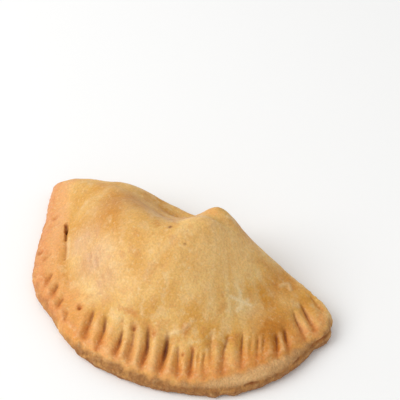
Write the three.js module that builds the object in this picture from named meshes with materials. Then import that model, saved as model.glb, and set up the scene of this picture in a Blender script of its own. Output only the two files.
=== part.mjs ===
// A half-moon meat pie, baked whole: a round of shortcrust folded over its filling and sealed with a fork.
// Millimetres, +Z up. X runs along the fold, the crimped edge faces -Y and the pie rests flat on z = 0.
import * as THREE from 'three';

const { lerp, smoothstep, degToRad, radToDeg, clamp } = THREE.MathUtils;

// Plan, about the middle of the fold. Angles run from the left end (180) by the front (270)
// to the right end (360).
const rimRadius = 67.3;
const foldBulge = 9.5;
const foldBow = 2.05;                  // 1 bows like an ellipse, more is straighter towards the ends
const edgeSwells = [
  { at: 180, out: 4.4, spread: 9 },    // drawn-out left end
  { at: 206, out: -2.9, spread: 15 },
  { at: 246, out: -2.3, spread: 10 },
  { at: 322, out: 3.8, spread: 27 },
  { at: 346, out: -0.7, spread: 4 },
  { at: 354, out: 1.6, spread: 4 },    // lobe at the right end
  { at: 360, out: -1.6, spread: 4 },   // blunt right end
];

// Filled dome
const crown = { x: 3, y: -14 };        // where the sampling rings of the dome close up
const footHeight = 12;                 // height of the crust where the dome meets the crimped band
const footEnd = 20;                    // how broadly the foot runs out at the ends of the fold
const footEase = 0.07;                 // share of the slope over which the dome lifts off the band
const foldHeight = 14;                 // height at which the fold reaches furthest back
const endHeight = 8.5;                 // the same at the two ends of the fold
const ridgeRise = 29.5;                // ridge above the foot of the dome
const ridgeLeft = { start: -58, full: -14, rounding: 0.35 };    // flank from the left end to its shoulder
const ridgeRight = { start: 42.7, full: 10.5, rounding: 0.08 };    // straighter flank up to the peak
const ridgeShare = 0.73;               // share of the depth at which the ridge runs, from the front foot
const frontCurve = 1.75;               // 1 is a straight slope up from the front, more is rounder
const crestPeak = { x: 13.3, y: 3, rise: 3.8, left: 5.3, right: 7, deep: 10 };
const crestDent = { x: -4.8, y: 3, rise: -22.5, left: 21, right: 10, deep: 14 };    // hollow behind it
const crustSwells = [
  { length: 30, heading: 30, phase: 35, height: 0.35 },
  { length: 21, heading: 118, phase: 110, height: 0.25 },
  { length: 14, heading: -33, phase: 125, height: 0.15 },
];

// Crimped band and its lip
const bandWidth = 15;
const lipHeight = 8.5;
const lipRadius = 4;                   // how far the lip rounds over from its top to its widest line
const lipWidest = 3.2;                 // height of that line
const lipUnder = 1.6;                  // how far it runs in again below
const foldBand = 6;                    // the band that takes its place along the fold
const foldCurl = 7;                    // how far the crust under the fold runs in before it lies flat
const foldBegins = 0.05;               // share of the fold's bow where the crimp starts to give way to it
const foldTakesOver = 0.6;             // share where the fold alone is left

// Fork presses: the marks of one press lie side by side and run the same way. Each press gives the inner
// ends of its first and last mark, their count, the heading and length of the marks, and their depth.
const markHalfWidth = 1.6;
const markInnerEnd = 1.6;              // distance over which a mark falls to its full depth
const markOuterFade = 0.55;            // share of the length after which it runs out
const markClear = { from: 1.2, to: 4.8 };    // distance from the edge over which every mark runs out
const markSpread = { length: 0.15, depth: 0.2, turn: 2.4 };    // how uneven the marks of a press are
const forkPresses = [
  { first: [-57, -4], last: [-52, -15], count: 3, heading: 205, length: 9, depth: 0.5 },
  { first: [-44.5, -31], last: [-40, -40], count: 3, heading: 235, length: 8, depth: 0.7 },
  { first: [-36.5, -45], last: [-19.5, -55], count: 4, heading: 276, length: 6.5, depth: 1.2 },
  { first: [-12, -52], last: [6.5, -50.5], count: 4, heading: 291, length: 13, depth: 2 },
  { first: [12.5, -49], last: [20.5, -47.5], count: 2, heading: 288, length: 16, depth: 2.8 },
  { first: [26.5, -48.5], last: [33.3, -45], count: 3, heading: 298, length: 13, depth: 2.2 },
  { first: [34, -37.5], last: [47, -30], count: 4, heading: 297, length: 12.5, depth: 1.8 },
  { first: [49.3, -27.8], last: [56, -19], count: 4, heading: 306, length: 9.5, depth: 1.6 },
  { first: [54, -10.3], last: [56, 0.5], count: 3, heading: 329, length: 11, depth: 1.9 },
];
const tear = { x: -46.7, y: -24, heading: 304, halfWidth: 0.9, halfLength: 2.8, depth: 3.2 };  // torn prick

// Along the crimp the lines of the mesh lean with the presses about them, but not at the ends of the fold
const leanReach = 8;                   // degrees to either side over which a press has its say
const leanFull = { from: 200, to: 347 };

// Sampling: steps along the crimped edge and the fold, rings of the dome, the band and its lip
const crimpSteps = 192;
const foldSteps = 60;
const domeRings = 12;
const coarseRings = 3;
const mediumRings = 6;
const bandRings = 9;
const lipRings = 6;

const bell = (distance, width) => Math.exp(-((distance / width) ** 2));

// Nothing below zero, with a rounded bend where it leaves zero
const softFloor = (value, rounding) => (value + Math.sqrt(value * value + rounding * rounding)) / 2;

function edgeRadius(angle) {
  const outBy = (swell) => swell.out * bell(angle - swell.at, swell.spread);
  return edgeSwells.reduce((radius, swell) => radius + outBy(swell), rimRadius);
}

const leftEnd = -edgeRadius(180);
const rightEnd = edgeRadius(360);
const foldMiddle = (leftEnd + rightEnd) / 2;
const foldHalf = (rightEnd - leftEnd) / 2;

// How far the fold stands behind its ends, for a place along it
function foldEdge(x) {
  const along = clamp((x - foldMiddle) / foldHalf, -1, 1);
  return foldBulge * (1 - along * along) ** (foldBow / 2);
}

// Where each press lies, and by how many degrees its marks run ahead on their way across the band
const pressLeans = forkPresses.map(({ first, last, heading }) => {
  const [x, y] = [(first[0] + last[0]) / 2, (first[1] + last[1]) / 2];
  const outwards = Math.atan2(y - crown.y, x - crown.x);
  const ahead = bandWidth * Math.tan(degToRad(heading) - outwards) / rimRadius;
  return { angle: radToDeg(Math.atan2(y, x)) + 360, ahead: radToDeg(ahead) };
});

function leanAt(angle) {
  const weights = pressLeans.map((press) => bell(angle - press.angle, leanReach));
  const total = weights.reduce((sum, weight) => sum + weight);
  const ahead = pressLeans.reduce((sum, press, i) => sum + press.ahead * weights[i], 0) / total;
  return ahead * smoothstep(angle, 180, leanFull.from) * (1 - smoothstep(angle, leanFull.to, 360));
}

// Edge of the crimp in line with a place on the band, given the distance of that place from the edge
function crimpEdge(angle, inset) {
  const leaning = angle + leanAt(angle) * Math.max(1 - inset / bandWidth, 0);
  const radius = edgeRadius(leaning);
  const turn = degToRad(leaning);
  return new THREE.Vector2(radius * Math.cos(turn), radius * Math.sin(turn));
}

// Outermost line of the pie seen from above, each station with its share of fold
function makeOutline() {
  const stations = [];
  for (let i = 0; i < crimpSteps; i++) {
    const angle = 180 + 180 * i / crimpSteps;
    stations.push({ edgeAt: (inset) => crimpEdge(angle, inset), fold: 0 });
  }
  for (let i = 0; i < foldSteps; i++) {
    const turn = Math.PI * i / foldSteps;
    const x = foldMiddle + foldHalf * Math.cos(turn);
    const edge = new THREE.Vector2(x, foldEdge(x));
    const fold = smoothstep(Math.sin(turn), foldBegins, foldTakesOver);
    stations.push({ edgeAt: () => edge.clone(), fold });
  }
  return stations;
}

// Share of the ridge's height that a flank allows, rounded off at its foot and at its shoulder
function flankShare(x, flank) {
  const risen = (x - flank.start) / (flank.full - flank.start);
  const share = softFloor(risen, flank.rounding) - softFloor(risen - 1, flank.rounding);
  return share / softFloor(1, flank.rounding);
}

// Height of the ridge over the foot of the dome, like a tent with two flanks
function ridgeHeight(x) {
  return ridgeRise * flankShare(x, ridgeLeft) * flankShare(x, ridgeRight);
}

// Height of the upper crust within the crimped band
function domeHeight(x, y) {
  const footRadius = rimRadius - bandWidth;
  const front = -Math.sqrt(softFloor(footRadius ** 2 - x * x, footEnd ** 2));
  const back = foldEdge(x);
  const depth = clamp(1 - (back - y) / (bandWidth + softFloor(back - front - bandWidth, bandWidth)), 0, 1);
  const climb = Math.min(depth / ridgeShare, 1);
  const lifted = climb * climb * (1 + footEase) / (climb + footEase);
  const beforeRidge = 1 - (1 - lifted) ** frontCurve;
  const behind = Math.max((depth - ridgeShare) / (1 - ridgeShare), 0);
  const section = beforeRidge * Math.sqrt(1 - behind * behind);
  const along = clamp((x - foldMiddle) / foldHalf, -1, 1);
  const foldLevel = lerp(endHeight, foldHeight, Math.sqrt(1 - along * along));
  const bumpAt = (bump) => {
    const wide = x < bump.x ? bump.left : bump.right;
    return bump.rise * bell(x - bump.x, wide) * bell(y - bump.y, bump.deep);
  };
  const ridge = ridgeHeight(x) + bumpAt(crestPeak) + bumpAt(crestDent);
  return lerp(footHeight, foldLevel, depth) + section * ridge;
}

// Slow swells of the crust over the filling
function swellHeight(x, y) {
  return crustSwells.reduce((height, swell) => {
    const heading = degToRad(swell.heading);
    const along = x * Math.cos(heading) + y * Math.sin(heading);
    return height + swell.height * Math.sin(2 * Math.PI * along / swell.length + degToRad(swell.phase));
  }, 0);
}

// A place seen from a mark: how far along its heading and how far to its side
function seenFrom(x, y, mark) {
  const heading = degToRad(mark.heading);
  const [outX, outY] = [Math.cos(heading), Math.sin(heading)];
  const [fromX, fromY] = [x - mark.x, y - mark.y];
  return { along: fromX * outX + fromY * outY, aside: fromY * outX - fromX * outY };
}

function pressMarks(press, pressNumber) {
  return Array.from({ length: press.count }, (_, i) => {
    const share = i / (press.count - 1);
    const uneven = Math.sin((pressNumber + i) * markSpread.turn);
    return {
      x: lerp(press.first[0], press.last[0], share),
      y: lerp(press.first[1], press.last[1], share),
      heading: press.heading,
      length: press.length * (1 + markSpread.length * uneven),
      depth: press.depth * (1 + markSpread.depth * uneven),
    };
  });
}

const marks = forkPresses.flatMap(pressMarks);

// Depth of the fork marks and of the torn prick
function markDepth(x, y) {
  const deepest = marks.reduce((depth, mark) => {
    const { along, aside } = seenFrom(x, y, mark);
    const fall = smoothstep(along, -markInnerEnd, markInnerEnd);
    const runOut = 1 - smoothstep(along, mark.length * markOuterFade, mark.length);
    return Math.max(depth, mark.depth * fall * runOut * bell(aside, markHalfWidth));
  }, 0);
  const { along, aside } = seenFrom(x, y, tear);
  return Math.max(deepest, tear.depth * bell(along, tear.halfLength) * bell(aside, tear.halfWidth));
}

// Lip of the crimped band: inset and height for a turn round it, from its top (0) to the underside (pi)
function lipSection(turn) {
  const upper = turn <= Math.PI / 2;
  const inset = (upper ? lipRadius : lipUnder) * (1 - Math.sin(turn));
  const level = lipWidest + (upper ? lipHeight - lipWidest : lipWidest) * Math.cos(turn);
  return { inset, level };
}

// One line of the crust from the crown over the dome, the band and the lip to the underside
function crustLine({ edgeAt, fold }) {
  const middle = new THREE.Vector2(crown.x, crown.y);
  const band = lerp(bandWidth, foldBand, fold);
  const reach = edgeAt(band).distanceTo(middle);
  const placeAt = (inset) => {
    const edge = edgeAt(inset);
    return edge.lerp(middle, inset / edge.distanceTo(middle));
  };
  const heightAt = (inset) => domeHeight(placeAt(inset).x, placeAt(inset).y);
  const reliefAt = (inset) => {
    const place = placeAt(inset);
    const crimped = (1 - fold) * smoothstep(inset, markClear.from, markClear.to);
    return swellHeight(place.x, place.y) - crimped * markDepth(place.x, place.y);
  };
  const line = [];
  for (let ring = 1; ring <= domeRings; ring++) {
    const share = Math.sin(Math.PI / 2 * ring / domeRings);
    const inset = reach - share * (reach - band);
    const { x, y } = placeAt(inset);
    line.push({ x, y, z: heightAt(inset) + reliefAt(inset) });
  }
  const halfLip = lipRings / 2;
  const widestRing = bandRings + halfLip;
  for (let ring = 1; ring <= bandRings + lipRings; ring++) {
    const onBand = ring / bandRings;
    const lip = lipSection(Math.PI * Math.max(ring - bandRings, 0) / lipRings);
    const crimpInset = onBand < 1 ? lerp(band, lipRadius, onBand) : lip.inset;
    const crimpLevel = onBand < 1 ? lerp(heightAt(band), lipHeight, onBand) : lip.level;

    const downFold = band * Math.max(1 - ring / widestRing, 0) ** 2;
    const underFold = Math.PI / 2 * Math.max(ring - widestRing, 0) / halfLip;
    const foldInset = downFold + foldCurl * (1 - Math.cos(underFold));
    const foldLevel = heightAt(downFold) * (1 - Math.sin(underFold));

    const inset = lerp(crimpInset, foldInset, fold);
    const level = lerp(crimpLevel, foldLevel, fold);
    const { x, y } = placeAt(inset);
    line.push({ x, y, z: level + smoothstep(level, 0, lipHeight) * reliefAt(inset) });
  }
  return line;
}

// Joins two rings of vertex numbers, the outer one with as many or with twice as many.
// A square is split between the two corners that are closer in height, so that grooves stay whole.
function joinRings(triangles, inner, outer, heightOf) {
  const drop = (a, b) => Math.abs(heightOf(a) - heightOf(b));
  const twice = outer.length === 2 * inner.length;
  inner.forEach((here, i) => {
    const next = inner[(i + 1) % inner.length];
    if (twice) {
      const middle = outer[2 * i + 1];
      const last = outer[(2 * i + 2) % outer.length];
      triangles.push(here, outer[2 * i], middle, here, middle, next, next, middle, last);
    } else {
      const first = outer[i];
      const last = outer[(i + 1) % outer.length];
      const corners = drop(here, last) < drop(first, next)
        ? [here, first, last, here, last, next]
        : [here, first, next, first, last, next];
      triangles.push(...corners);
    }
  });
}

function makePieGeometry() {
  const outline = makeOutline();
  const lines = outline.map(crustLine);
  const rings = lines[0].map((_, ring) => {
    const every = ring < coarseRings ? 4 : ring < mediumRings ? 2 : 1;
    return lines.filter((_, i) => i % every === 0).map((line) => line[ring]);
  });

  const box = new THREE.Box3();
  rings.flat().forEach((place) => box.expandByPoint(new THREE.Vector3(place.x, place.y, place.z)));
  const middle = box.getCenter(new THREE.Vector3());

  const vertices = [];
  const addVertex = (place) => {
    vertices.push(place.x - middle.x, place.y - middle.y, place.z);
    return vertices.length / 3 - 1;
  };
  const top = addVertex({ ...crown, z: domeHeight(crown.x, crown.y) + swellHeight(crown.x, crown.y) });
  const numbered = rings.map((ring) => ring.map(addVertex));
  const bottom = addVertex({ ...crown, z: 0 });

  const heightOf = (number) => vertices[3 * number + 2];
  const triangles = [];
  numbered[0].forEach((here, i, ring) => triangles.push(top, here, ring[(i + 1) % ring.length]));
  for (let ring = 1; ring < numbered.length; ring++) {
    joinRings(triangles, numbered[ring - 1], numbered[ring], heightOf);
  }
  numbered.at(-1).forEach((here, i, ring) => triangles.push(bottom, ring[(i + 1) % ring.length], here));

  const geometry = new THREE.BufferGeometry();
  geometry.setAttribute('position', new THREE.Float32BufferAttribute(vertices, 3));
  geometry.setIndex(triangles);
  geometry.computeVertexNormals();
  return geometry;
}

const crust = new THREE.MeshStandardMaterial({ color: '#d9a35b', roughness: 0.6, metalness: 0 });
const pie = new THREE.Mesh(makePieGeometry(), crust);
pie.name = 'pie';

const part = new THREE.Group();
part.add(pie);

export default part;
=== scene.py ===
import math

import bpy
import numpy as np
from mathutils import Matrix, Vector


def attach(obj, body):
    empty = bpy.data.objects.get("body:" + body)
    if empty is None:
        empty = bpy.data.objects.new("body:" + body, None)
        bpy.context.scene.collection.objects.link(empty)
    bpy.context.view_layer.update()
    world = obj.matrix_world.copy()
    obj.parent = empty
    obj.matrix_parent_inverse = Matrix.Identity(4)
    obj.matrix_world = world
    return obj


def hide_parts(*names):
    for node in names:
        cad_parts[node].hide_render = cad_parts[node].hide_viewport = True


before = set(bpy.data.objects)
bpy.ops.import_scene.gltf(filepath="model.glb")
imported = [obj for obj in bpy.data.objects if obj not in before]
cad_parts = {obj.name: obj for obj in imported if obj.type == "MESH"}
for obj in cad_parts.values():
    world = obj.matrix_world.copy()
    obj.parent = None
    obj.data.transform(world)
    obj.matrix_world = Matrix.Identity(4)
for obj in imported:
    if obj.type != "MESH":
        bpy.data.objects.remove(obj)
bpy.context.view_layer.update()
mm = 0.001


# Small helpers

leastWeight = 0.001                 # fainter weights stay out of a vertex group
mixShare, mixUnder, mixOver, mixResult = 0, 6, 7, 2     # sockets of a Mix node that mixes colours


def linear(hexColour):
    channels = [int(hexColour[i:i + 2], 16) / 255 for i in (1, 3, 5)]
    # the sRGB curve's own numbers
    return [c / 12.92 if c <= 0.04045 else ((c + 0.055) / 1.055) ** 2.4 for c in channels] + [1]


def bell(distance, width):
    return np.exp(-(distance / width) ** 2)


def smoothStep(value, low, high):
    share = np.clip((value - low) / (high - low), 0, 1)
    return share * share * (3 - 2 * share)


def readPoints(piece):
    points = np.empty(3 * len(piece.data.vertices), np.float32)
    piece.data.vertices.foreach_get("co", points)
    return points.reshape(-1, 3).astype(float) / mm     # in mm


def writePoints(piece, points):
    piece.data.vertices.foreach_set("co", (points * mm).astype(np.float32).ravel())
    piece.data.update()


def readNormals(piece):
    normals = np.empty(3 * len(piece.data.vertices), np.float32)
    piece.data.vertex_normals.foreach_get("vector", normals)
    return normals.reshape(-1, 3).astype(float)


def selectPoints(piece, chosen):
    # goes into edit mode with just these points selected
    bpy.ops.object.mode_set(mode="EDIT")
    bpy.ops.mesh.select_mode(type="VERT")
    bpy.ops.mesh.select_all(action="DESELECT")
    bpy.ops.object.mode_set(mode="OBJECT")
    piece.data.vertices.foreach_set("select", chosen)
    bpy.ops.object.mode_set(mode="EDIT")


def paintPoints(piece, name, values, kind="FLOAT"):
    attribute = piece.data.attributes.new(name, kind, "POINT")
    field = "vector" if kind == "FLOAT_VECTOR" else "value"
    attribute.data.foreach_set(field, np.asarray(values, np.float32).ravel())


def weightGroup(piece, name, weights):
    group = piece.vertex_groups.new(name=name)
    for index in np.flatnonzero(weights > leastWeight):
        group.add([int(index)], float(weights[index]), "REPLACE")


def applyModifier(piece, kind, **settings):
    modifier = piece.modifiers.new(kind.lower(), kind)
    for name, value in settings.items():
        setattr(modifier, name, value)
    bpy.ops.object.modifier_apply(modifier=modifier.name)


def addNode(tree, kind, inputs, **settings):
    node = tree.nodes.new(kind)
    for name, value in settings.items():
        setattr(node, name, value)
    for socket, value in inputs.items():
        if isinstance(value, bpy.types.NodeSocket):
            tree.links.new(value, node.inputs[socket])
        else:
            node.inputs[socket].default_value = value
    return node


# The crust: the solid's form, remeshed evenly, with crisp fork marks and a baked surface
# All is in mm and degrees. Places on the plan count from the middle of the fold: +X along it, -Y towards
# the crimped edge. Bearings turn round that middle from +X. An inset is the distance from the edge.
# A pair of numbers for a zone is the stretch over which it blends in or out.

pie = {
    "foldMiddle": (1.14, 28.95),
    "crown": (3, -14),              # inside the dome, where lines to the edge start
    "peak": (12, 2),                # streaks run down from here
    "edgeSteps": 360,               # the outline is read off in this many directions
    "crimpEnds": (-3, 3),           # the crimp ends towards the fold, by Y

    "mesh": {
        "merge": 0.01,
        "rounding": 1,              # subdivision before the remesh
        "voxel": 0.74,
        "smoothing": 0.5,           # factor of every smoothing pass
        "settle": 4,                # passes that take the voxel steps out
        "base": 0.3,                # lower points belong to the base
        "baseTilt": 15,             # faces of the base this close to level become one
        "fineBand": 21,             # the mesh is twice as fine this close to the crimped edge
        "fineAbove": 0.1,           # but not on the base
    },
    "band": {                       # here the solid's own coarse marks are smoothed away
        "inner": (20, 22.5),        # by inset
        "outer": (2.5, 5),
        "above": 4,
        "passes": 40,
    },

    "grooves": [                    # fork marks from their inner to their outer ends, from the left end on
        {"path": [(-57, -4), (-63, -6)], "deep": 0.4, "wide": 1.2},
        {"path": [(-54, -13), (-59.5, -16.5)], "deep": 0.4, "wide": 1.2},
        {"path": [(-50.5, -21.5), (-54.5, -25.5)], "deep": 0.5, "wide": 1.2},
        {"path": [(-44.5, -36), (-46, -41.5)], "deep": 0.7, "wide": 1.2},
        {"path": [(-38, -44), (-37, -50)], "deep": 1.2, "wide": 1.2},
        {"path": [(-32.5, -47.5), (-31.5, -53.5)], "deep": 1.2, "wide": 1.1},
        {"path": [(-27, -51.5), (-26.5, -58)], "deep": 1.1, "wide": 1.1},
        {"path": [(-21.5, -55.5), (-19.5, -62)], "deep": 0.8, "wide": 1.1},
        {"path": [(-12, -51), (-10.8, -55.5), (-9, -62)], "deep": 1.6, "wide": 1.1},
        {"path": [(-6, -51.5), (-3.5, -56.5), (-1.5, -64)], "deep": 1.9, "wide": 1.2},
        {"path": [(1.3, -49.5), (2, -52)], "deep": 0.8, "wide": 0.9},
        {"path": [(3, -53), (5, -59), (6.5, -64)], "deep": 2.1, "wide": 1.2},
        {"path": [(6.8, -50.5), (10, -57.5), (12, -62.5)], "deep": 1.1, "wide": 1.3},
        {"path": [(11.5, -48), (14.4, -53), (18, -62.5)], "deep": 2.3, "wide": 1.2},
        {"path": [(19.5, -46.5), (21.5, -51.5), (25, -60.5)], "deep": 2.9, "wide": 1.5},
        {"path": [(24.8, -47.5), (27.7, -52), (32.5, -59)], "deep": 1.3, "wide": 1.1},
        {"path": [(30.3, -45.5), (32.5, -50), (36, -57)], "deep": 1.8, "wide": 1.1},
        {"path": [(33, -45.3), (37.2, -54.3)], "deep": 0.9, "wide": 1.4},
        {"path": [(34.6, -44), (36.5, -48), (40.5, -53.3)], "deep": 1.2, "wide": 1.1},
        {"path": [(33, -36.5), (34.5, -39.5), (39.5, -48)], "deep": 0.8, "wide": 1.2},
        {"path": [(38.5, -33), (40.2, -39.5), (44.8, -47.5)], "deep": 1.4, "wide": 1.2},
        {"path": [(42.5, -29.5), (45.8, -35.5), (49.5, -41.5)], "deep": 1.6, "wide": 1.1},
        {"path": [(46.3, -29), (48.5, -34), (50.5, -38)], "deep": 0.7, "wide": 1},
        {"path": [(48.2, -27.5), (50.4, -31.5), (53.5, -37)], "deep": 1.1, "wide": 1},
        {"path": [(50.2, -26), (52, -30), (55, -35)], "deep": 0.9, "wide": 1},
        {"path": [(53, -22), (55, -24.7), (58.5, -30)], "deep": 1.9, "wide": 1},
        {"path": [(54.3, -18), (56.6, -20.8), (61, -25.5)], "deep": 1.8, "wide": 1},
        {"path": [(53.2, -9.2), (55.8, -11.5), (63, -16.5)], "deep": 1.3, "wide": 0.85},
        {"path": [(53.7, -4.2), (57.2, -6.2), (63.7, -10.6)], "deep": 1.5, "wide": 0.85},
        {"path": [(54.5, 1.2), (58, -0.2), (62.5, -1.6)], "deep": 0.9, "wide": 0.8},
    ],
    "pricks": [                     # holes of single tines
        {"at": (-17.7, -52.9), "deep": 1.5, "wide": 1},
        {"at": (6.8, -50.8), "deep": 1.7, "wide": 1.2},
        {"at": (14.5, -49.2), "deep": 0.7, "wide": 0.8},
        {"at": (28.4, -49.6), "deep": 0.8, "wide": 0.8},
        {"at": (30.4, -46), "deep": 0.9, "wide": 0.9},
        {"at": (-50, -36.6), "deep": 0.9, "wide": 1.2},
        {"at": (-55.5, -20), "deep": 0.6, "wide": 1.2},
    ],
    "marks": {                      # how grooves and pricks are cut
        "clear": (0.8, 3),          # they run out this close to the edge, by inset
        "facing": (-0.1, 0.3),      # and where the crust turns down, by the upward part of its normal
        "narrow": 0.65,             # sharp middle and soft walls, as shares of a groove's width
        "broad": 1.7,
        "begins": (-0.12, 0.18),    # shares of the way along a groove
        "flattens": (0.35, 1),
        "flatter": 0.75,            # this share of the depth is gone at its outer end
        # darkUntil, redFrom, redDeep, prickDark and prickRed set the painted shade in the marks
        "darkUntil": (0.25, 0.8),
        "redFrom": (0.15, 0.8),
        "redDeep": 1.5,             # grooves as deep as this get the full red painted shade
        "ribFrom": (0.1, 0.6),
        "ribAt": 2.6,               # ribs swell up this far beside a groove
        "ribWide": 1.5,
        "ribRise": 0.3,             # share of the groove's depth
        "ribTallest": 1.1,
        "prickDark": 0.7,           # widths of the painted shade in a prick, as shares of its width
        "prickRed": 1.4,
    },
    "creases": [
        # tear and the crease below it; dark is painted shade along them
        {"path": [(-47, -23.2), (-46, -24.2), (-45, -25.8)], "rise": -2, "wide": 0.7, "dark": 1.8},
        {"path": [(-45.4, -25), (-42.4, -29.2)], "rise": -1.6, "wide": 0.6, "dark": 1.5},
        {"path": [(-42, -29.8), (-39.6, -33), (-36.8, -37.2)], "rise": -0.7, "wide": 0.8, "dark": 0.9},
        # valley along the left rim, hip line, peeled skin, flake
        {"path": [(-46, -15), (-43, -29), (-36.5, -38), (-28.5, -45.2)],
         "rise": -0.8, "wide": 2.2, "dark": 0},
        {"path": [(6, -12.5), (3.7, -27.5), (0, -42)], "rise": 0.35, "wide": 3, "dark": 0},
        {"path": [(19, -47.3), (24, -43.2), (25.7, -38)], "rise": 0.4, "wide": 0.8, "dark": 0},
        {"path": [(44, -3.5), (45.6, -0.5), (47.8, -2.2)], "rise": 0.4, "wide": 0.8, "dark": 0},
    ],
    "toe": {                        # the ribs end in a step down to the lip, with a crease at its foot
        "insets": [                 # bearing, and how far in from the edge the ribs end there
            (180, 2.5), (238, 2.8), (246, 1.2), (254, 1), (266, 2.8), (286, 2.8), (299, 2.2),
            (308, 3.4), (314, 5), (326, 5.8), (334, 5), (346, 3), (360, 2.6),
        ],
        "wavers": [(47, 0.35), (83, 0.245)],        # waves per turn, and how far they reach
        "blend": (-1.2, 1.8),
        "step": 0.4,
        "wide": 1.1,
        "deep": 0.2,
    },

    "lip": {
        "inset": (1.5, 3.5),
        "roughInset": (1, 3),
        "seamAt": 5,                # height of the line between the two layers of dough
        "seamWide": 0.7,
        "seamDepth": 0.1,
        "gapes": [                  # where the layers gape
            {"bearing": 322, "spread": 2.2, "deep": 0.9},
            {"bearing": 339, "spread": 2.6, "deep": 0.6},
            {"bearing": 351, "spread": 4.5, "deep": 0.9},
        ],
        "drips": [                  # of dough, at the foot
            {"bearing": 309.5, "spread": 1.6, "out": 0.7},
            {"bearing": 316, "spread": 2.2, "out": 0.6},
        ],
        "dripAt": 1.5,
        "dripHigh": 2,
    },
    "lobe": {                       # full round right end of the fold
        "at": (62.5, 1.5),
        "push": (-0.3, 1.2),
        "wide": 5.5,
        "paleWide": 11,
        "pale": 0.85,               # share of the band's colour that is missing there
    },
    "waves": [                      # unevenness all over or on the lip, with its size and height
        {"name": "swell", "group": "", "size": 16, "height": 0.7},
        {"name": "dimple", "group": "", "size": 6, "height": 0.35},
        {"name": "grain", "group": "", "size": 1.8, "height": 0.14},
        {"name": "lumps", "group": "lip", "size": 5, "height": 1.1},
        {"name": "crumb", "group": "lip", "size": 1.6, "height": 0.6},
    ],
    "waveDetail": 2,

    "scuffsAndHighlights": [                     # star of floury scratches, painted highlight on the peeled skin's ridge, hip, painted highlight beside the tear's crease, flake, peak
        {"path": [(32.5, -22), (39.5, -18.5)], "wide": 0.7, "pale": 0.8},
        {"path": [(34, -17.5), (37, -22.5)], "wide": 0.6, "pale": 0.7},
        {"path": [(37.5, -17.5), (36.5, -24.5)], "wide": 0.7, "pale": 0.6},
        {"path": [(19, -47.3), (24, -43.5), (25.7, -38.5)], "wide": 0.9, "pale": 0.3},
        {"path": [(6.2, -15), (5.6, -22), (3.4, -31), (2.4, -37)], "wide": 1.5, "pale": 0.2},
        {"path": [(-41, -29.2), (-38.4, -32.6), (-35.8, -36.8)], "wide": 0.8, "pale": 0.4},
        {"path": [(44, -3.5), (45.6, -0.5), (47.8, -2.2)], "wide": 0.9, "pale": 0.4},
        {"path": [(16, 1), (18.5, 2.5)], "wide": 0.7, "pale": 0.5},
    ],
    "specks": [                     # burnt flecks
        {"at": (1.5, -17.6), "wide": 0.95, "dark": 1.1},
        {"at": (8.6, -17), "wide": 0.5, "dark": 0.8},
        {"at": (10.8, -21.2), "wide": 0.6, "dark": 1},
        {"at": (11.2, -24.5), "wide": 0.55, "dark": 0.7},
        {"at": (-48.9, -7.1), "wide": 0.8, "dark": 0.5},
    ],
    "tones": [                      # uneven oven colour, pale below 0, brown above
        {"at": (-28, -13), "wide": 11, "tone": 1.2},
        {"at": (-5, -20), "wide": 10, "tone": 0.4},
        {"at": (20, -29), "wide": 11, "tone": -0.5},
        {"at": (16, -17), "wide": 9, "tone": -0.8},
        {"at": (27, -7), "wide": 9, "tone": -0.9},
        {"at": (43, -3), "wide": 9, "tone": 1},
        {"at": (52, -23), "wide": 9, "tone": 1.7},
        {"at": (61, -5), "wide": 7, "tone": -0.2},
        {"at": (-2, -40), "wide": 7, "tone": -0.6},
        {"at": (15, -56), "wide": 9, "tone": -0.7},
    ],
    "paintedSheenPatches": [                     # painted sheen on the wrinkled skin of the left slope
        {"at": (-32, -30), "wide": 8, "paintedSheenAndWrinkles": 0.9},
        {"at": (-22, -36), "wide": 9, "paintedSheenAndWrinkles": 1},
        {"at": (-13, -41), "wide": 7, "paintedSheenAndWrinkles": 0.8},
    ],
    "zones": {                      # where the colours of the pastry come in
        "upper": (-0.2, 0.1),       # by the upward part of the normal
        "under": (0.2, 2),          # by height
        "foot": (1, 8),
        "lip": (-2, 1),             # by inset from the toes
        "lipFront": (228, 256),     # by bearing
        "lipLeft": 0.4,             # share of the lip's colour left of there
        "lipFootShade": (0.5, 4.5),      # painted shade on the lip near the floor, by height
        "flour": {"bearing": 322, "spread": 22, "height": (4, 7)},
        "band": (8, 18),            # by inset
        "hem": {"inset": 19, "wide": 6, "from": (248, 278), "to": (320, 335)},
        "rosy": {"inset": (9, 16), "bearing": 205, "spread": 32},
        "rust": {"inset": 1, "wide": 4, "to": (240, 262)},
        "toe": {"inset": 2, "wide": 2.5},
        "hollowPasses": 14,
    },
    "fan": {                        # streaks run down from the peak, and fan out floury to its right
        "turnScale": 24,            # mm of pattern for a radian round the peak
        "farScale": 0.12,           # and for a mm away from it
        "turn": -45,
        "spread": 28,
        "from": (6, 16),            # by distance from the peak
        "to": (34, 48),
        "inset": (10, 20),
        "least": 0.25,
    },
}


def planOf(points):
    return points[:, :2] - np.array(pie["foldMiddle"])


def gapTo(places, spot):
    return np.hypot(*(places - np.array(spot)).T)


def nearPath(places, corners):
    # distance of every place from a bent line, and its share of the way along that line
    corners = np.array(corners, float)
    lengths = np.hypot(*np.diff(corners, axis=0).T)
    nearest = np.full(len(places), np.inf)
    share = np.zeros(len(places))
    passed = 0
    for begin, end, length in zip(corners, corners[1:], lengths):
        along = np.clip((places - begin) @ (end - begin) / length ** 2, 0, 1)
        gap = np.hypot(*(places - begin - along[:, None] * (end - begin)).T)
        closer = gap < nearest
        nearest[closer] = gap[closer]
        share[closer] = ((passed + along * length) / lengths.sum())[closer]
        passed += length
    return nearest, share


def bearingOf(places):
    return np.degrees(np.arctan2(places[:, 1], places[:, 0])) % 360


def toeInset(places):
    # the line where the ribs end, wavering from toe to toe
    bearing = bearingOf(places)
    line = np.interp(bearing, *np.transpose(pie["toe"]["insets"]))
    for count, reach in pie["toe"]["wavers"]:
        line += reach * np.sin(np.radians(bearing * count))
    return line


def crimpedSide(places):
    return 1 - smoothStep(places[:, 1], *pie["crimpEnds"])


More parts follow.
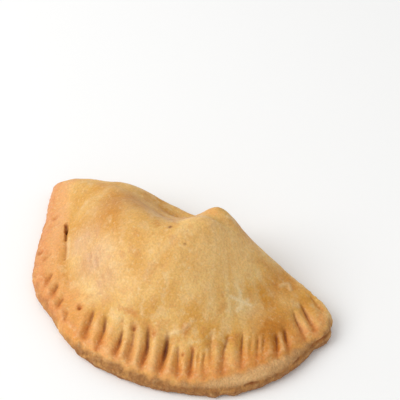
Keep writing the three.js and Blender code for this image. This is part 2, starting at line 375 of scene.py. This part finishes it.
def edgeInset(places):
    # how far every place lies inside the pie's outline, along the line from the crown
    away = places - np.array(pie["crown"])
    turn = np.arctan2(away[:, 1], away[:, 0])
    reach = np.hypot(away[:, 0], away[:, 1])
    steps = pie["edgeSteps"]
    wide = 2 * math.pi / steps
    slot = np.floor((turn + math.pi) / wide).astype(int) % steps
    edge = np.zeros(steps)
    np.maximum.at(edge, slot, reach)
    edge = np.max([np.roll(edge, shift) for shift in (-1, 0, 1)], axis=0)
    middles = -math.pi + wide * (np.arange(steps) + 0.5)
    return np.interp(turn, middles, edge, period=2 * math.pi) - reach


def makeCrust():
    mesh, coarse = pie["mesh"], pie["band"]
    bpy.ops.object.select_all(action="DESELECT")
    crust = bpy.data.objects.new("crust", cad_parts["pie"].data.copy())
    bpy.context.collection.objects.link(crust)
    crust.data.materials.clear()
    crust.select_set(True)
    bpy.context.view_layer.objects.active = crust
    bpy.ops.object.mode_set(mode="EDIT")
    bpy.ops.mesh.select_all(action="SELECT")
    bpy.ops.mesh.remove_doubles(threshold=mesh["merge"] * mm)
    bpy.ops.object.mode_set(mode="OBJECT")

    # the solid's own coarse marks are smoothed away, crisp ones are cut later
    points = readPoints(crust)
    places = planOf(points)
    inset = edgeInset(places)
    band = smoothStep(inset, *coarse["outer"]) * (1 - smoothStep(inset, *coarse["inner"]))
    weightGroup(crust, "band", band * (points[:, 2] > coarse["above"]) * crimpedSide(places))
    applyModifier(crust, "SMOOTH", factor=mesh["smoothing"], iterations=coarse["passes"],
                  vertex_group="band")
    crust.vertex_groups.clear()

    applyModifier(crust, "SUBSURF", levels=mesh["rounding"], render_levels=mesh["rounding"])
    applyModifier(crust, "REMESH", mode="VOXEL", voxel_size=mesh["voxel"] * mm, use_smooth_shade=True)
    applyModifier(crust, "SMOOTH", factor=mesh["smoothing"], iterations=mesh["settle"])

    # one flat face for the base, and finer faces where the fork marks and the lip are
    selectPoints(crust, readPoints(crust)[:, 2] < mesh["base"])
    bpy.ops.mesh.dissolve_limited(angle_limit=math.radians(mesh["baseTilt"]))
    bpy.ops.object.mode_set(mode="OBJECT")
    points = readPoints(crust)
    places = planOf(points)
    near = (edgeInset(places) < mesh["fineBand"]) & (crimpedSide(places) > 0)
    selectPoints(crust, near & (points[:, 2] > mesh["fineAbove"]))
    bpy.ops.mesh.subdivide(number_cuts=1)
    bpy.ops.object.mode_set(mode="OBJECT")
    applyModifier(crust, "SMOOTH", factor=mesh["smoothing"], iterations=mesh["settle"])
    crust.data.calc_loop_triangles()
    print("crust remeshed:", len(crust.data.loop_triangles), "triangles")
    return crust


def cutMarks(crust):
    marks, toe = pie["marks"], pie["toe"]
    points = readPoints(crust)
    places = planOf(points)
    inset = edgeInset(places)
    fromToe = inset - toeInset(places)
    facing = smoothStep(readNormals(crust)[:, 2], *marks["facing"])
    clear = facing * smoothStep(inset, *marks["clear"])
    # painted shade: dark along the bottoms of grooves, pricks and creases, redder in and beside deeper
    # grooves and round pricks
    cut, coreShade, markShade, swell, rise = np.zeros((5, len(points)))
    for groove in pie["grooves"]:
        deep, wide = groove["deep"], groove["wide"]
        gap, share = nearPath(places, groove["path"])
        narrow = bell(gap, marks["narrow"] * wide)
        broad = bell(gap, marks["broad"] * wide)
        begin = smoothStep(share, *marks["begins"])
        kept = 1 - marks["flatter"] * smoothStep(share, *marks["flattens"])
        dark = 1 - smoothStep(share, *marks["darkUntil"])
        red = min(deep / marks["redDeep"], 1) * smoothStep(share, *marks["redFrom"])
        rib = bell(gap - marks["ribAt"], marks["ribWide"]) * smoothStep(share, *marks["ribFrom"])
        cut = np.maximum(cut, deep * begin * kept * (narrow + broad) / 2)
        coreShade = np.maximum(coreShade, deep * begin * dark * narrow)
        markShade = np.maximum(markShade, red * broad)
        swell += deep * marks["ribRise"] * rib
    for prick in pie["pricks"]:
        deep, wide = prick["deep"], prick["wide"]
        gap = gapTo(places, prick["at"])
        cut = np.maximum(cut, deep * bell(gap, wide))
        coreShade = np.maximum(coreShade, deep * bell(gap, marks["prickDark"] * wide))
        markShade = np.maximum(markShade, bell(gap, marks["prickRed"] * wide))
    for crease in pie["creases"]:
        line = bell(nearPath(places, crease["path"])[0], crease["wide"])
        rise += crease["rise"] * line
        coreShade = np.maximum(coreShade, crease["dark"] * line)
    onRibs = smoothStep(fromToe, *toe["blend"])
    swell = np.minimum(swell, marks["ribTallest"]) * onRibs
    step = toe["step"] * (1 - onRibs) + toe["deep"] * bell(fromToe, toe["wide"])
    points[:, 2] += clear * (swell - cut + rise) - facing * crimpedSide(places) * step
    writePoints(crust, points)
    # painted shade in the marks
    paintPoints(crust, "coreShade", clear * coreShade)
    paintPoints(crust, "markShade", clear * markShade * onRibs)
    print("fork marks cut, deepest in mm:", round(float(cut.max()), 2))


def shapeLip(crust):
    # seam between the layers of dough, gaping in places, small drips at the foot, and the full right end
    lip, lobe = pie["lip"], pie["lobe"]
    points = readPoints(crust)
    places = planOf(points)
    height = points[:, 2]
    bearing = bearingOf(places)
    onLip = crimpedSide(places) * (1 - smoothStep(edgeInset(places), *lip["inset"]))
    opening = np.full(len(points), lip["seamDepth"])
    for gape in lip["gapes"]:
        opening += gape["deep"] * bell(bearing - gape["bearing"], gape["spread"])
    seam = onLip * opening * bell(height - lip["seamAt"], lip["seamWide"])
    out = np.zeros(len(points))
    for drip in lip["drips"]:
        out += drip["out"] * bell(bearing - drip["bearing"], drip["spread"])
    out *= bell(height - lip["dripAt"], lip["dripHigh"])
    points += readNormals(crust) * (onLip * out - seam)[:, None]
    near = bell(gapTo(places, lobe["at"]), lobe["wide"])
    points[:, :2] += near[:, None] * np.array(lobe["push"])
    writePoints(crust, points)
    # painted shade in the seam, deepest where the layers gape
    paintPoints(crust, "seam", seam)
    print("lip shaped")


def roughen(crust):
    # uneven baked surface: slow swells over the filling, dimples, grain, and a lumpy lip
    places = planOf(readPoints(crust))
    lip = crimpedSide(places) * (1 - smoothStep(edgeInset(places), *pie["lip"]["roughInset"]))
    weightGroup(crust, "lip", lip)
    for wave in pie["waves"]:
        clouds = bpy.data.textures.new(wave["name"], "CLOUDS")
        clouds.noise_scale = wave["size"] * mm
        clouds.noise_depth = pie["waveDetail"]
        applyModifier(crust, "DISPLACE", texture=clouds, texture_coords="LOCAL", direction="NORMAL",
                      mid_level=0.5, strength=wave["height"] * mm, vertex_group=wave["group"])
    crust.vertex_groups.clear()
    points = readPoints(crust)
    points[points[:, 2] < pie["mesh"]["base"], 2] = 0       # the base rests on the floor
    writePoints(crust, points)
    print("surface roughened")


def hollowDepth(crust, passes):
    # how far every point lies below the mean of its surroundings
    points = readPoints(crust)
    ends = np.empty(2 * len(crust.data.edges), np.int32)
    crust.data.edges.foreach_get("vertices", ends)
    ends = ends.reshape(-1, 2)
    both = np.concatenate([ends, ends[:, ::-1]])
    count = np.bincount(both[:, 0], minlength=len(points))
    smooth = points.copy()
    for _ in range(passes):
        sums = [np.bincount(both[:, 0], smooth[both[:, 1], axis], len(points)) for axis in range(3)]
        smooth = np.stack(sums, axis=1) / count[:, None]
    return ((smooth - points) * readNormals(crust)).sum(axis=1)


def paintZones(crust):
    zones, lobe, fan = pie["zones"], pie["lobe"], pie["fan"]
    points = readPoints(crust)
    places = planOf(points)
    height = points[:, 2]
    inset = edgeInset(places)
    fromToe = inset - toeInset(places)
    bearing = bearingOf(places)
    crimped = crimpedSide(places)

    # which way up, and the foot and the lip
    upper = smoothStep(readNormals(crust)[:, 2], *zones["upper"])
    under = (1 - smoothStep(height, *zones["under"])) * (1 - upper)
    lip = crimped * (1 - smoothStep(fromToe, *zones["lip"]))
    lip *= zones["lipLeft"] + (1 - zones["lipLeft"]) * smoothStep(bearing, *zones["lipFront"])
    flour = bell(bearing - zones["flour"]["bearing"], zones["flour"]["spread"])
    paintPoints(crust, "upper", upper)
    paintPoints(crust, "under", np.where(height > 0, under, 1))
    paintPoints(crust, "foot", (1 - smoothStep(height, *zones["foot"])) * (1 - crimped))
    paintPoints(crust, "lip", lip)
    # painted shade on the lip near the floor
    paintPoints(crust, "lipFootShade", lip * (1 - smoothStep(height, *zones["lipFootShade"])))
    paintPoints(crust, "flour", lip * flour * smoothStep(height, *zones["flour"]["height"]))

    # the crimped band, orange, rosy and rusty at the left
    hem, rosy, rust, toe = zones["hem"], zones["rosy"], zones["rust"], zones["toe"]
    coloured = 1 - lobe["pale"] * bell(gapTo(places, lobe["at"]), lobe["paleWide"])
    atFront = smoothStep(bearing, *hem["from"]) * (1 - smoothStep(bearing, *hem["to"]))
    atLeft = bell(bearing - rosy["bearing"], rosy["spread"])
    rusty = bell(inset - rust["inset"], rust["wide"]) * (1 - smoothStep(bearing, *rust["to"]))
    paintPoints(crust, "band", crimped * (1 - smoothStep(inset, *zones["band"])) * coloured)
    paintPoints(crust, "hem", crimped * atFront * bell(inset - hem["inset"], hem["wide"]))
    paintPoints(crust, "rosy", crimped * atLeft * (1 - smoothStep(inset, *rosy["inset"])))
    paintPoints(crust, "rust", crimped * rusty)
    paintPoints(crust, "toe", crimped * bell(fromToe - toe["inset"], toe["wide"]))
    # painted shade in hollows and painted highlight on ridges, from how far each point lies below its
    # surroundings
    paintPoints(crust, "hollowShadeAndRidgeHighlight", hollowDepth(crust, zones["hollowPasses"]))

    # single marks and patches, painted highlights among them
    pale, dark, tone, paintedSheenAndWrinkles = np.zeros((4, len(points)))
    for paleLine in pie["scuffsAndHighlights"]:
        line = bell(nearPath(places, paleLine["path"])[0], paleLine["wide"])
        pale = np.maximum(pale, paleLine["pale"] * line)
    for speck in pie["specks"]:
        dark = np.maximum(dark, speck["dark"] * bell(gapTo(places, speck["at"]), speck["wide"]))
    for patch in pie["tones"]:
        tone += patch["tone"] * bell(gapTo(places, patch["at"]), patch["wide"])
    for patch in pie["paintedSheenPatches"]:
        paintedSheenAndWrinkles = np.maximum(paintedSheenAndWrinkles, patch["paintedSheenAndWrinkles"] * bell(gapTo(places, patch["at"]), patch["wide"]))
    # painted sheen where the left slope is wrinkled
    paintPoints(crust, "paintedSheenAndWrinkles", upper * paintedSheenAndWrinkles)
    paintPoints(crust, "pale", upper * pale)
    paintPoints(crust, "speck", upper * dark)
    paintPoints(crust, "tone", upper * tone)

    # streaks from the peak
    away = places - np.array(pie["peak"])
    turn = np.arctan2(away[:, 1], away[:, 0])
    far = np.hypot(away[:, 0], away[:, 1])
    fall = np.stack([turn * fan["turnScale"], far * fan["farScale"], 0 * far], axis=1)
    floury = bell(np.degrees(turn) - fan["turn"], fan["spread"])
    floury *= smoothStep(far, *fan["from"]) * (1 - smoothStep(far, *fan["to"]))
    streaked = (fan["least"] + (1 - fan["least"]) * floury) * smoothStep(inset, *fan["inset"])
    paintPoints(crust, "fall", fall, "FLOAT_VECTOR")
    paintPoints(crust, "fan", upper * streaked)
    print("zones painted")


crust = makeCrust()
cutMarks(crust)
shapeLip(crust)
roughen(crust)
paintZones(crust)
bpy.ops.object.shade_smooth()
for face in crust.data.polygons:
    face.use_smooth = face.center.z > 0     # the base stays flat


# Egg-washed shortcrust, oven-baked: matte golden crumb under a thin soft sheen, orange-brown at the crimp

pastry = {
    "golden": "#d09334",
    "buff": "#e3b66a",
    "roughness": 0.48,
    "lipRoughness": 0.75,           # no egg wash on the lip
    "gloss": 0.35,
    "shade": (0.9, 1.1),            # fine speckles of lighter and darker crumb
    "glow": 0.1,                    # light goes a little way into the crumb
    "glowReach": (1, 0.45, 0.2),    # of red, green and blue, as shares of the depth
    "glowDepth": 1.5,
    "ringStretch": (0.4, 7, 1),     # turns streaks down the slope to wrinkles across it
    "patterns": {                   # size in mm, and the stretch of the noise that is used
        "patches": {"along": "place", "size": 10, "detail": 4, "from": 0.38, "to": 0.62},
        "blush": {"along": "place", "size": 5, "detail": 4, "from": 0.35, "to": 0.65},
        "mottle": {"along": "place", "size": 2.6, "detail": 3, "from": 0.3, "to": 0.7},
        "freckle": {"along": "place", "size": 1.5, "detail": 3, "from": 0.3, "to": 0.7},
        "speckle": {"along": "place", "size": 0.8, "detail": 2, "from": 0.3, "to": 0.7},
        "streak": {"along": "fall", "size": 2.6, "detail": 3, "from": 0.35, "to": 0.7},
        "wrinkle": {"along": "ring", "size": 1.2, "detail": 3, "from": 0.35, "to": 0.65},
    },
    "layers": [                     # zones laid over one another, each made ragged by a noise
        {"zone": "upper", "noise": "blush", "ragged": 1, "from": 1.1, "to": 1.9, "colour": "#c47e2c"},
        {"zone": "upper", "noise": "blush", "ragged": -1, "from": 1.1, "to": 2.1, "colour": "#eed09a"},
        {"zone": "fan", "noise": "streak", "ragged": 1.4, "from": 0.4, "to": 2.4, "colour": "#e8cd94"},
        # painted sheen, pale pink on the left slope, then painted shade in the troughs of its wrinkles
        {"zone": "paintedSheenAndWrinkles", "noise": "blush", "ragged": 0.5, "from": 0.1, "to": 1.5, "colour": "#ddb28a"},
        {"zone": "paintedSheenAndWrinkles", "noise": "wrinkle", "ragged": -1, "from": 0.75, "to": 2.3, "colour": "#b87a44"},
        {"zone": "hem", "noise": "blush", "ragged": 1.4, "from": 0.7, "to": 2.1, "colour": "#c87c2e"},
        {"zone": "band", "noise": "mottle", "ragged": 0.5, "from": 0.1, "to": 1.8, "colour": "#e6984a"},
        {"zone": "rosy", "noise": "mottle", "ragged": 0.5, "from": 0, "to": 1.3, "colour": "#dd9f62"},
        {"zone": "rust", "noise": "mottle", "ragged": 1, "from": 0.2, "to": 1.7, "colour": "#c8743e"},
        {"zone": "toe", "noise": "mottle", "ragged": 0.8, "from": 0.3, "to": 1.8, "colour": "#d98a46"},
        {"zone": "tone", "noise": "mottle", "ragged": 0.4, "from": 0, "to": 1.5, "colour": "#bd7820"},
        {"zone": "tone", "noise": "mottle", "ragged": 0.4, "from": 0, "to": -1.5, "colour": "#ecc07c"},
        # painted shade, redder in and beside deeper fork marks and round pricks
        {"zone": "markShade", "noise": "mottle", "ragged": 0.3, "from": 0.1, "to": 1.5, "colour": "#c4722c"},
        {"zone": "foot", "noise": "mottle", "ragged": 0.5, "from": 0.05, "to": 1.4, "colour": "#b0702f"},
        {"zone": "upper", "noise": "freckle", "ragged": 1, "from": 1.25, "to": 3.2, "colour": "#be7a36"},
        {"zone": "upper", "noise": "freckle", "ragged": -1, "from": 1.2, "to": 2.5, "colour": "#f0d8a6"},
        {"zone": "lip", "noise": "mottle", "ragged": 0.6, "from": 0.2, "to": 1, "colour": "#a8733d"},
        {"zone": "lip", "noise": "mottle", "ragged": 1, "from": 0.9, "to": 2, "colour": "#8c5626"},
        # painted shade on the lip near the floor
        {"zone": "lipFootShade", "noise": "mottle", "ragged": 0.8, "from": 0.1, "to": 1.3, "colour": "#8a5226"},
        {"zone": "flour", "noise": "blush", "ragged": 0.5, "from": 0.1, "to": 1.2, "colour": "#dfb076"},
        # painted highlight on ridges, then painted shade in hollows
        {"zone": "hollowShadeAndRidgeHighlight", "noise": "mottle", "ragged": 0.6, "from": -0.08, "to": -1, "colour": "#ecc286"},
        {"zone": "hollowShadeAndRidgeHighlight", "noise": "mottle", "ragged": 0.6, "from": 0.04, "to": 0.9, "colour": "#b05e20"},
        {"zone": "speck", "noise": "mottle", "ragged": 0.2, "from": 0.2, "to": 1.2, "colour": "#7a4018"},
        # pale marks, with painted highlights on the peeled skin and beside the tear
        {"zone": "pale", "noise": "mottle", "ragged": 0.1, "from": 0.05, "to": 1.2, "colour": "#ecd6a8"},
        # painted shade in the lip's seam and gapes
        {"zone": "seam", "noise": "mottle", "ragged": 0.2, "from": 0.3, "to": 1.6, "colour": "#8a4416"},
        # painted shade along the bottoms of fork marks, pricks and the tear
        {"zone": "coreShade", "noise": "mottle", "ragged": 0.2, "from": 0.5, "to": 2.8, "colour": "#743810"},
        {"zone": "under", "noise": "mottle", "ragged": 0.3, "from": 0.1, "to": 0.9, "colour": "#9c6530"},
        {"zone": "under", "noise": "blush", "ragged": 1, "from": 0.9, "to": 1.9, "colour": "#754519"},
        {"zone": "under", "noise": "patches", "ragged": -1, "from": 0.9, "to": 1.9, "colour": "#c08a4c"},
    ],
    "bumps": [                      # where, and height in mm
        {"zone": "upper", "noise": "mottle", "height": 0.11},
        {"zone": "upper", "noise": "freckle", "height": 0.04},
        {"zone": "upper", "noise": "streak", "height": 0.07},
        {"zone": "paintedSheenAndWrinkles", "noise": "wrinkle", "height": 0.2},
        {"zone": "lip", "noise": "mottle", "height": 0.2},
        {"zone": "lip", "noise": "speckle", "height": 0.12},
        {"zone": "upper", "noise": "speckle", "height": 0.07},
    ],
}


def makePastry():
    material = bpy.data.materials.new("egg-washed shortcrust pastry")
    material.use_nodes = True
    tree = material.node_tree
    shader = tree.nodes["Principled BSDF"]

    # coordinates in mm, stretched down the slope for streaks and across it for wrinkles
    metres = addNode(tree, "ShaderNodeTexCoord", {}).outputs["Object"]
    place = addNode(tree, "ShaderNodeVectorMath", {
        0: metres, "Scale": 1 / mm}, operation="SCALE").outputs[0]
    fall = addNode(tree, "ShaderNodeAttribute", {}, attribute_name="fall").outputs["Vector"]
    ring = addNode(tree, "ShaderNodeVectorMath", {
        0: fall, 1: pastry["ringStretch"]}, operation="MULTIPLY").outputs[0]
    along = {"place": place, "fall": fall, "ring": ring}
    share = {}
    for name, pattern in pastry["patterns"].items():
        noise = addNode(tree, "ShaderNodeTexNoise", {
            "Vector": along[pattern["along"]], "Scale": 1 / pattern["size"], "Detail": pattern["detail"]})
        stretch = addNode(tree, "ShaderNodeMapRange", {
            "Value": noise.outputs["Fac"], "From Min": pattern["from"], "From Max": pattern["to"]})
        share[name] = stretch.outputs["Result"]

    # a zone times its noise says how much of a layer's colour shows
    colour = addNode(tree, "ShaderNodeMix", {
        mixShare: share["patches"], mixUnder: linear(pastry["golden"]), mixOver: linear(pastry["buff"]),
    }, data_type="RGBA").outputs[mixResult]
    zones = {}
    for layer in pastry["layers"]:
        if layer["zone"] not in zones:
            attribute = addNode(tree, "ShaderNodeAttribute", {}, attribute_name=layer["zone"])
            zones[layer["zone"]] = attribute.outputs["Fac"]
        centred = addNode(tree, "ShaderNodeMath", {0: share[layer["noise"]], 1: 0.5}, operation="SUBTRACT")
        ragged = addNode(tree, "ShaderNodeMath", {
            0: centred.outputs[0], 1: layer["ragged"], 2: 1}, operation="MULTIPLY_ADD")
        uneven = addNode(tree, "ShaderNodeMath", {
            0: ragged.outputs[0], 1: zones[layer["zone"]]}, operation="MULTIPLY")
        amount = addNode(tree, "ShaderNodeMapRange", {
            "Value": uneven.outputs[0], "From Min": layer["from"], "From Max": layer["to"]})
        colour = addNode(tree, "ShaderNodeMix", {
            mixShare: amount.outputs["Result"], mixUnder: colour, mixOver: linear(layer["colour"]),
        }, data_type="RGBA").outputs[mixResult]
    darkest, lightest = pastry["shade"]
    shade = addNode(tree, "ShaderNodeMapRange", {
        "Value": share["speckle"], "To Min": darkest, "To Max": lightest})
    final = addNode(tree, "ShaderNodeHueSaturation", {"Color": colour, "Value": shade.outputs["Result"]})
    tree.links.new(final.outputs["Color"], shader.inputs["Base Color"])

    rough = addNode(tree, "ShaderNodeMapRange", {
        "Value": zones["lip"], "To Min": pastry["roughness"], "To Max": pastry["lipRoughness"]})
    tree.links.new(rough.outputs["Result"], shader.inputs["Roughness"])
    normal = None
    for bump in pastry["bumps"]:
        inputs = {"Height": share[bump["noise"]], "Strength": zones[bump["zone"]]}
        inputs["Distance"] = bump["height"] * mm
        if normal:
            inputs["Normal"] = normal
        normal = addNode(tree, "ShaderNodeBump", inputs).outputs["Normal"]
    tree.links.new(normal, shader.inputs["Normal"])
    shader.inputs["Specular IOR Level"].default_value = pastry["gloss"]
    shader.inputs["Subsurface Weight"].default_value = pastry["glow"]
    shader.inputs["Subsurface Radius"].default_value = pastry["glowReach"]
    shader.inputs["Subsurface Scale"].default_value = pastry["glowDepth"] * mm
    return material


crust.data.materials.append(makePastry())
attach(crust, "root")
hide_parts("pie")
print("crust dressed")


# Floor, light and camera, in mm and degrees

studio = {
    "floorSize": 4000,
    "floor": "#fbfbfa",
    "floorRoughness": 0.9,
    "azimuth": 33,
    "elevation": 46,
    "distance": 470,
    "aside": 20,                    # the picture's middle lies this far right of and above the pie's origin
    "above": 41.4,
    "lens": 104.7,
    "sensor": 36,
    "clipFrom": 10,
    "lights": [                     # towards them: right, up and back as the camera sees it
        {"name": "key", "towards": (-0.7, 0.4, 0.6), "size": 900, "distance": 1300, "power": 10.2},
        {"name": "window", "towards": (-0.75, 0.55, -0.2), "size": 500, "distance": 900, "power": 0.7},
    ],
    "room": "#ffffff",
    "roomStrength": 0.635,
}


def viewAxes(azimuth, elevation):
    a, e = math.radians(azimuth), math.radians(elevation)
    back = Vector((math.sin(a) * math.cos(e), -math.cos(a) * math.cos(e), math.sin(e)))
    right = Vector((math.cos(a), math.sin(a), 0))
    return right, back.cross(right), back


def makeFloor():
    bpy.ops.object.select_all(action="DESELECT")
    bpy.ops.mesh.primitive_plane_add(size=studio["floorSize"] * mm, location=(0, 0, 0))
    floor = bpy.context.object
    floor.name = "floor"
    material = bpy.data.materials.new("matte white card")
    material.use_nodes = True
    shader = material.node_tree.nodes["Principled BSDF"]
    shader.inputs["Base Color"].default_value = linear(studio["floor"])
    shader.inputs["Roughness"].default_value = studio["floorRoughness"]
    floor.data.materials.append(material)


def makeLights(right, up, back):
    for light in studio["lights"]:
        aside, above, behind = light["towards"]
        towards = (aside * right + above * up + behind * back).normalized()
        bpy.ops.object.light_add(type="AREA", location=towards * light["distance"] * mm)
        lamp = bpy.context.object
        lamp.name = light["name"]
        lamp.rotation_euler = towards.to_track_quat("Z", "Y").to_euler()
        lamp.data.size = light["size"] * mm
        lamp.data.energy = light["power"]
    world = bpy.data.worlds.new("soft room")
    bpy.context.scene.world = world
    world.use_nodes = True
    room = world.node_tree.nodes["Background"]
    room.inputs["Color"].default_value = linear(studio["room"])
    room.inputs["Strength"].default_value = studio["roomStrength"]


def makeCamera(right, up, back):
    place = right * studio["aside"] + up * studio["above"] + back * studio["distance"]
    bpy.ops.object.camera_add(location=place * mm)
    camera = bpy.context.object
    camera.rotation_euler = back.to_track_quat("Z", "Y").to_euler()
    camera.data.lens = studio["lens"]
    camera.data.sensor_width = studio["sensor"]
    camera.data.clip_start = studio["clipFrom"] * mm
    bpy.context.scene.camera = camera


right, up, back = viewAxes(studio["azimuth"], studio["elevation"])
makeFloor()
makeLights(right, up, back)
makeCamera(right, up, back)
bpy.context.scene.view_settings.view_transform = "Standard"
print("stage set")
